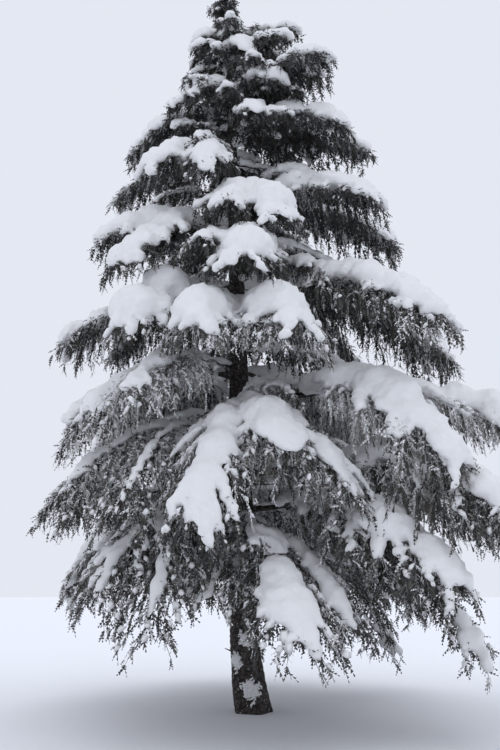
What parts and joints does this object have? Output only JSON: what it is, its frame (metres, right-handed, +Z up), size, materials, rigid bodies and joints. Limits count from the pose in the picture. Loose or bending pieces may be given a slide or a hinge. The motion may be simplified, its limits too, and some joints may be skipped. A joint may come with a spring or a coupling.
{
  "type": "norway spruce tree, snow-laden",
  "caption": "Open-grown spruce with a leaning tapered trunk, drooping tiers of toothed needle sprays down to the ground, and thick pillows of snow on its limbs",
  "frame": {"origin": "at the centre of the flat cut under the trunk, on the ground", "axes": "+Z is up along the tree, -Y is towards the side shown in the picture, +X is to the right of that view"},
  "size_m": [6.9092, 5.9335, 11.5],
  "materials": {
    "bark": "rough scaly grey-brown bark, damp in places",
    "needles": "matt dark green needles, frosted grey",
    "snow": "soft matt fresh snow"
  },
  "bodies": {
    "root": {"trunk": "bark", "bough_waist_right": "bark", "bough_skirt_front": "bark", "bough_skirt_left": "bark", "bough_skirt_right": "bark", "bough_foot_left": "bark", "bough_foot_front": "bark", "peak_front": "needles", "peak_left": "needles", "upper_right": "needles", "upper_left": "needles", "high_front": "needles", "high_right": "needles", "high_left": "needles", "mid_front": "needles", "mid_right": "needles", "mid_left": "needles", "belly_front": "needles", "waist_left": "needles", "waist_right": "needles", "skirt_front": "needles", "skirt_left": "needles", "skirt_right": "needles", "foot_left": "needles", "foot_right": "needles", "foot_front": "needles", "peak_rear": "needles", "upper_rear": "needles", "high_rear": "needles", "mid_rear": "needles", "waist_rear_right": "needles", "waist_rear_left": "needles", "foot_rear_right": "needles", "foot_rear_left": "needles", "crown_tip": "needles", "snow_peak_front": "snow", "snow_peak_left": "snow", "snow_upper_right": "snow", "snow_upper_left": "snow", "snow_high_front": "snow", "snow_high_right": "snow", "snow_high_left": "snow", "snow_mid_front": "snow", "snow_mid_right": "snow", "snow_mid_left": "snow", "snow_belly_front": "snow", "snow_waist_left": "snow", "snow_waist_right": "snow", "snow_skirt_front": "snow", "snow_skirt_left": "snow", "snow_skirt_right": "snow", "snow_foot_left": "snow", "snow_foot_right": "snow", "snow_foot_front": "snow", "snow_high_rear": "snow", "snow_mid_rear": "snow", "snow_waist_rear_right": "snow", "snow_waist_rear_left": "snow", "snow_foot_rear_right": "snow", "snow_foot_rear_left": "snow"}
  },
  "joints": []
}
